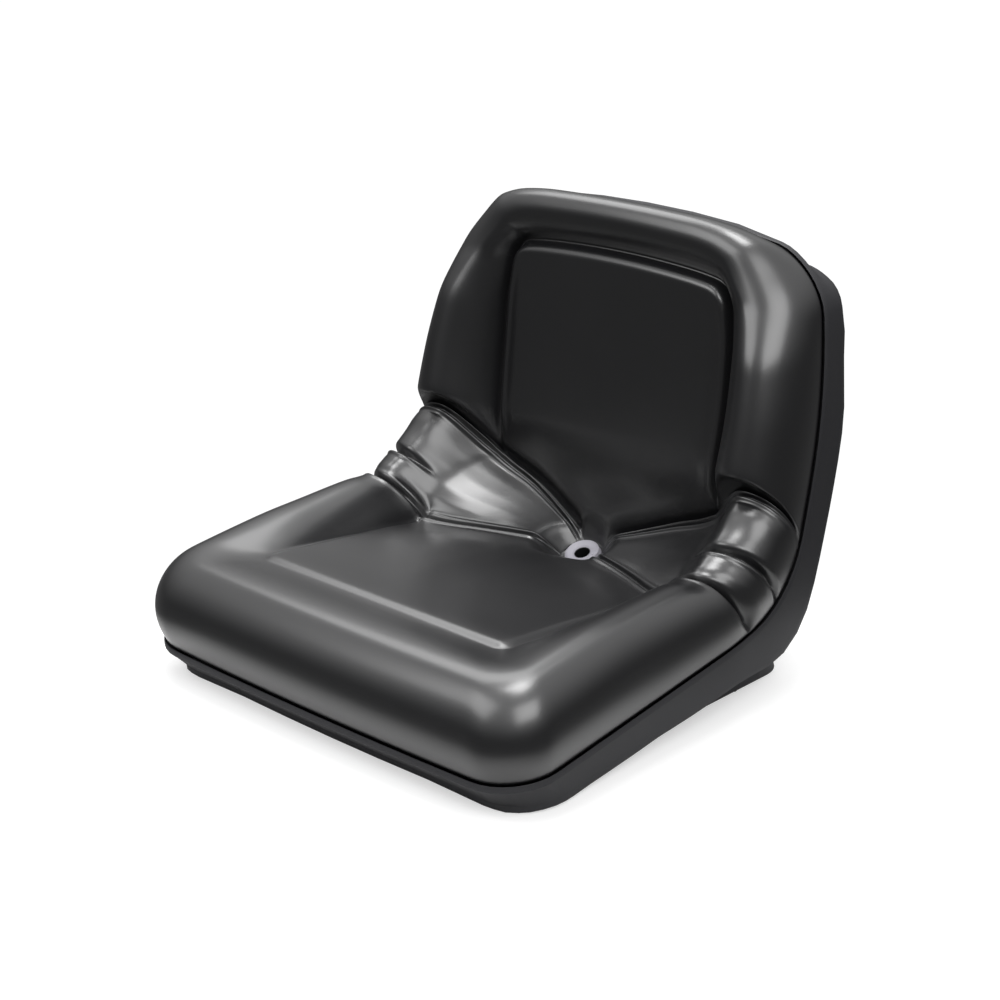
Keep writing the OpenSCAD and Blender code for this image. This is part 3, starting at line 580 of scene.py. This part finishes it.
# The shell keeps the part's own form, joined and shaded smooth. Its lower edges are eased outwards to
# the photograph's: a little deeper at the sides and the heel, fuller at the front corners, and a longer plinth.
SHELL_EASE = Curve((0, 8), (40, 11), (120, 10.5), (160, 9), (200, 6.5), (300, 6), (340, 12), (362, 18), (380, 16),
                   (400, 8.5), (420, -1), (440, -4), (500, -2.5), (540, -2.5), (600, -8.5), (640, -4.5), (660, -2.5),
                   (680, 5), (TOP, 4))
LIP_DEPTH = 11
CORNER_EASE, FRONT_EASE = 14, 5
PLINTH_END, PLINTH_LONGER = 152, 27
RIM_LINE = [(s, *rim(s)) for s in range(0, int(TOP) + 1, 3)]


def eased(point):
    x, y, z = point.x / MM, point.y / MM + PATTERN_CENTRE, point.z / MM
    s, rim_y, rim_z = min(RIM_LINE, key=lambda k: (k[1] - y) ** 2 + (k[2] - z) ** 2)
    away = Vector((0, y - rim_y, z - rim_z))
    depth, full = away.length, SHELL_DEPTH(s)
    reach = clamp((depth - LIP_DEPTH) / (full - LIP_DEPTH))
    share = reach * (1 - ease((depth - full - 1) / 8))
    moved = away.normalized() * SHELL_EASE(s) * share if depth > 1 else Vector()
    front = (1 - ease(s / 90)) * share
    corner = ease((abs(x) - 130) / 80)
    moved.x += math.copysign(CORNER_EASE * 0.7 * corner * front, x)
    moved.y -= (FRONT_EASE * (1 - corner) + CORNER_EASE * 0.7 * corner) * front
    wall = 14 if abs(x) > 185 else 3
    moved.y += PLINTH_LONGER * ease((y - PATTERN_CENTRE - PLINTH_END + wall) / wall) * ease((52 - z) / 10) * (depth > full)
    moved.z = max(moved.z, 0.4 - z) if z > 0.4 else 0
    return drawn_in(point + moved * MM, RIM_SHARE - 0.2 * reach)


def shell_mesh():
    bm = bmesh.new()
    bm.from_mesh(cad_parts["base_shell"].data)
    bmesh.ops.remove_doubles(bm, verts=bm.verts, dist=0.01 * MM)
    for v in bm.verts:
        v.co = eased(v.co)
    bm.normal_update()
    for e in bm.edges:
        e.smooth = len(e.link_faces) == 2 and e.calc_face_angle(0) < math.radians(32)
    return bm


shell = add_object("moulded_shell", shell_mesh())
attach(shell, "root")
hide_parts("base_shell")


# Materials
def linear(colour):
    """sRGB hex to the linear values that shaders take."""
    parts = [int(colour[k:k + 2], 16) / 255 for k in (1, 3, 5)]
    return tuple(c / 12.92 if c <= 0.04045 else ((c + 0.055) / 1.055) ** 2.4 for c in parts) + (1,)


def material(name):
    made = bpy.data.materials.new(name)
    made.use_nodes = True
    return made, made.node_tree, made.node_tree.nodes["Principled BSDF"]


def node(tree, kind, settings=None, links=None, **fields):
    """Adds a node: settings fill its inputs, links join (node, output) pairs to them."""
    made = tree.nodes.new(kind)
    for key, value in fields.items():
        setattr(made, key, value)
    for key, value in (settings or {}).items():
        made.inputs[key].default_value = value
    for key, (source, output) in (links or {}).items():
        tree.links.new(source.outputs[output], made.inputs[key])
    return made


def vinyl_skin():
    # Black vinyl moulded onto its foam, with a clear top coat: a very fine pebble grain under a satin gloss.
    made, tree, shader = material("moulded_black_vinyl")
    place = node(tree, "ShaderNodeTexCoord")
    grain = node(tree, "ShaderNodeTexVoronoi", {"Scale": 800.0}, {"Vector": (place, "Object")}, feature="SMOOTH_F1")
    soft = node(tree, "ShaderNodeTexNoise", {"Scale": 9.0, "Detail": 3.0, "Roughness": 0.5},
                {"Vector": (place, "Object")})
    fine = node(tree, "ShaderNodeBump", {"Strength": 0.2, "Distance": 0.0002}, {"Height": (grain, "Distance")})
    tree.links.new(fine.outputs["Normal"], shader.inputs["Normal"])
    gloss = node(tree, "ShaderNodeMapRange", {"To Min": 0.3, "To Max": 0.38}, {"Value": (soft, "Fac")})
    tree.links.new(gloss.outputs["Result"], shader.inputs["Roughness"])
    tint = node(tree, "ShaderNodeMix", {"A": linear("#101012"), "B": linear("#151517")}, data_type="RGBA")
    tree.links.new(soft.outputs["Fac"], tint.inputs[0])
    tree.links.new(tint.outputs[2], shader.inputs["Base Color"])
    shader.inputs["IOR"].default_value = 1.58
    shader.inputs["Coat Weight"].default_value = 0.8
    shader.inputs["Coat IOR"].default_value = 1.58
    shader.inputs["Coat Roughness"].default_value = 0.25
    return made


def shell_plastic():
    # Dark moulded polypropylene with a spark-eroded texture: matte, a little lighter than the vinyl.
    made, tree, shader = material("textured_moulded_plastic")
    place = node(tree, "ShaderNodeTexCoord")
    pits = node(tree, "ShaderNodeTexNoise", {"Scale": 900.0, "Detail": 2.0}, {"Vector": (place, "Object")})
    cloud = node(tree, "ShaderNodeTexNoise", {"Scale": 12.0, "Detail": 3.0}, {"Vector": (place, "Object")})
    bump = node(tree, "ShaderNodeBump", {"Strength": 0.25, "Distance": 0.0002}, {"Height": (pits, "Fac")})
    tree.links.new(bump.outputs["Normal"], shader.inputs["Normal"])
    tint = node(tree, "ShaderNodeMix", {"A": linear("#28282b"), "B": linear("#303033")}, data_type="RGBA")
    tree.links.new(cloud.outputs["Fac"], tint.inputs[0])
    tree.links.new(tint.outputs[2], shader.inputs["Base Color"])
    gloss = node(tree, "ShaderNodeMapRange", {"To Min": 0.5, "To Max": 0.62}, {"Value": (cloud, "Fac")})
    tree.links.new(gloss.outputs["Result"], shader.inputs["Roughness"])
    shader.inputs["IOR"].default_value = 1.49
    return made


def grommet_rubber():
    # Grey elastomer, moulded: dull, with a faint bloom that lightens it in patches.
    made, tree, shader = material("grey_moulded_elastomer")
    place = node(tree, "ShaderNodeTexCoord")
    bloom = node(tree, "ShaderNodeTexNoise", {"Scale": 60.0, "Detail": 4.0}, {"Vector": (place, "Object")})
    tint = node(tree, "ShaderNodeMix", {"A": linear("#908e96"), "B": linear("#a3a1a9")}, data_type="RGBA")
    tree.links.new(bloom.outputs["Fac"], tint.inputs[0])
    # The wall of the bore is painted near black as shade: it sees no light from the studio.
    out = node(tree, "ShaderNodeVectorMath", {1: tuple(DRAIN_AT)}, {0: (place, "Object")}, operation="SUBTRACT")
    across = node(tree, "ShaderNodeVectorMath", {1: tuple(DRAIN_AXIS)}, {0: (out, "Vector")}, operation="CROSS_PRODUCT")
    spread = node(tree, "ShaderNodeVectorMath", {}, {0: (across, "Vector")}, operation="LENGTH")
    open_air = node(tree, "ShaderNodeMapRange", {"From Min": 8.0 * MM, "From Max": 8.5 * MM}, {"Value": (spread, "Value")})
    shade = node(tree, "ShaderNodeMix", {"A": linear("#0c0c0d")}, {0: (open_air, "Result"), "B": (tint, 2)},
                 data_type="RGBA")
    tree.links.new(shade.outputs[2], shader.inputs["Base Color"])
    grit = node(tree, "ShaderNodeTexNoise", {"Scale": 1500.0, "Detail": 2.0}, {"Vector": (place, "Object")})
    bump = node(tree, "ShaderNodeBump", {"Strength": 0.15, "Distance": 0.0001}, {"Height": (grit, "Fac")})
    tree.links.new(bump.outputs["Normal"], shader.inputs["Normal"])
    shader.inputs["Roughness"].default_value = 0.55
    return made


def insert_metal():
    # Turned brass with fine lathe marks.
    made, tree, shader = material("turned_brass")
    place = node(tree, "ShaderNodeTexCoord")
    marks = node(tree, "ShaderNodeTexNoise", {"Scale": 2500.0, "Detail": 2.0}, {"Vector": (place, "Object")})
    bump = node(tree, "ShaderNodeBump", {"Strength": 0.1, "Distance": 0.0001}, {"Height": (marks, "Fac")})
    tree.links.new(bump.outputs["Normal"], shader.inputs["Normal"])
    tint = node(tree, "ShaderNodeMix", {"A": linear("#b8923f"), "B": linear("#c9a652")}, data_type="RGBA")
    tree.links.new(marks.outputs["Fac"], tint.inputs[0])
    tree.links.new(tint.outputs[2], shader.inputs["Base Color"])
    shader.inputs["Metallic"].default_value = 1.0
    shader.inputs["Roughness"].default_value = 0.32
    return made


def dress(thing, finish):
    thing.data.materials.clear()
    thing.data.materials.append(finish)


dress(cushion, vinyl_skin())
plastic = shell_plastic()
dress(shell, plastic)
dress(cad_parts["base_shell"], plastic)
dress(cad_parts["cushion"], cushion.data.materials[0])
dress(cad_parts["drain_grommet"], grommet_rubber())
dress(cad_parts["mounting_inserts"], insert_metal())


# Studio
def white_floor():
    """White floor with a painted pool of light round the seat that darkens where the light falls off: it keeps the
    seat's shadow, and beyond it the camera sees plain white.
    """
    made = bpy.data.materials.new("white_paper")
    made.use_nodes = True
    tree = made.node_tree
    tree.nodes.clear()
    place = node(tree, "ShaderNodeTexCoord")
    side = node(tree, "ShaderNodeVectorMath", {}, {0: (place, "Object")}, operation="ABSOLUTE")
    past = node(tree, "ShaderNodeVectorMath", {1: (0.22, 0.23, 0)}, {0: (side, "Vector")}, operation="SUBTRACT")
    outside = node(tree, "ShaderNodeVectorMath", {1: (0, 0, 0)}, {0: (past, "Vector")}, operation="MAXIMUM")
    away = node(tree, "ShaderNodeVectorMath", {}, {0: (outside, "Vector")}, operation="LENGTH")
    # Painted pool of light: the floor's colour is light round the seat and dark where the light falls off.
    painted_light_pool = node(tree, "ShaderNodeMapRange", {"From Min": 0.04, "From Max": 0.18, "To Min": 1.0, "To Max": 0.0},
                 {"Value": (away, "Value")}, interpolation_type="SMOOTHSTEP")
    paper = node(tree, "ShaderNodeMix", {"A": (0.05, 0.05, 0.05, 1), "B": (0.62, 0.62, 0.62, 1)}, {0: (painted_light_pool, "Result")},
                 data_type="RGBA")
    ray = node(tree, "ShaderNodeLightPath")
    mirrored = node(tree, "ShaderNodeMath", {}, {0: (ray, "Is Glossy Ray"), 1: (ray, "Is Transmission Ray")},
                    operation="ADD", use_clamp=True)
    white = node(tree, "ShaderNodeMapRange", {"To Min": 1.0, "To Max": 0.5}, {"Value": (painted_light_pool, "Result")})
    seen = node(tree, "ShaderNodeMath", {}, {0: (ray, "Is Camera Ray"), 1: (white, "Result")}, operation="MULTIPLY")
    # Mirror images on the vinyl show the floor away from the seat dark, so mirrored rays see little of its glow.
    level = node(tree, "ShaderNodeMath", {1: 0.04}, {0: (mirrored, 0), 2: (seen, 0)}, operation="MULTIPLY_ADD")
    matt = node(tree, "ShaderNodeBsdfDiffuse", {}, {"Color": (paper, 2)})
    glow = node(tree, "ShaderNodeEmission", {"Color": (1, 1, 1, 1)}, {"Strength": (level, 0)})
    both = node(tree, "ShaderNodeAddShader", {}, {0: (matt, 0), 1: (glow, 0)})
    node(tree, "ShaderNodeOutputMaterial", {}, {"Surface": (both, 0)})
    return made


def studio_floor():
    bm = bmesh.new()
    bmesh.ops.create_grid(bm, x_segments=1, y_segments=1, size=40)
    floor = add_object("studio_floor", bm, smooth=False)
    floor.data.materials.append(white_floor())


def world_light():
    """A wide soft ceiling that falls off to a dark horizon; the camera itself sees white there."""
    world = bpy.data.worlds.new("studio_world")
    bpy.context.scene.world = world
    world.use_nodes = True
    tree = world.node_tree
    tree.nodes.clear()
    way = node(tree, "ShaderNodeTexCoord")
    parts = node(tree, "ShaderNodeSeparateXYZ", {}, {"Vector": (way, "Generated")})
    ceiling = node(tree, "ShaderNodeMapRange", {"From Min": 0.0, "From Max": 0.85, "To Min": 0.04, "To Max": 0.9},
                   {"Value": (parts, "Z")}, interpolation_type="SMOOTHSTEP")
    ray = node(tree, "ShaderNodeLightPath")
    mirrored = node(tree, "ShaderNodeMath", {}, {0: (ray, "Is Glossy Ray"), 1: (ray, "Is Transmission Ray")},
                    operation="ADD", use_clamp=True)
    seen = node(tree, "ShaderNodeMath", {1: 0.04}, {0: (mirrored, 0), 2: (ray, "Is Camera Ray")}, operation="MULTIPLY_ADD")
    level = node(tree, "ShaderNodeMath", {}, {0: (ceiling, "Result"), 1: (seen, 0)}, operation="ADD")
    sky = node(tree, "ShaderNodeBackground", {"Color": (1, 1, 1, 1)}, {"Strength": (level, 0)})
    node(tree, "ShaderNodeOutputWorld", {}, {"Surface": (sky, 0)})


def softbox(name, turn, rise, distance, wide, tall, watts):
    """Soft lamp, turn degrees round from the seat's front towards its right, aimed at the seat."""
    data = bpy.data.lights.new(name, "AREA")
    data.shape = "RECTANGLE"
    data.size, data.size_y = wide, tall
    data.energy = watts
    lamp = bpy.data.objects.new(name, data)
    turn, rise = math.radians(turn), math.radians(rise)
    way = Vector((math.sin(turn) * math.cos(rise), -math.cos(turn) * math.cos(rise), math.sin(rise)))
    lamp.location = Vector((0, 0, 0.2)) + way * distance
    lamp.rotation_euler = (-way).to_track_quat("-Z", "Y").to_euler()
    lamp.visible_camera = False
    bpy.context.scene.collection.objects.link(lamp)


studio_floor()
world_light()
softbox("overhead", 0, 89, 2.2, 0.8, 0.8, 20)
softbox("front_left", -22, 41, 2.2, 1.4, 1.1, 14)
softbox("right_side", 67, 41, 2.2, 1.5, 1.1, 19)
softbox("rear_left", -115, 54, 2.2, 1.3, 1.0, 11)
softbox("rear_high", -150, 74, 2.2, 0.9, 0.8, 9)
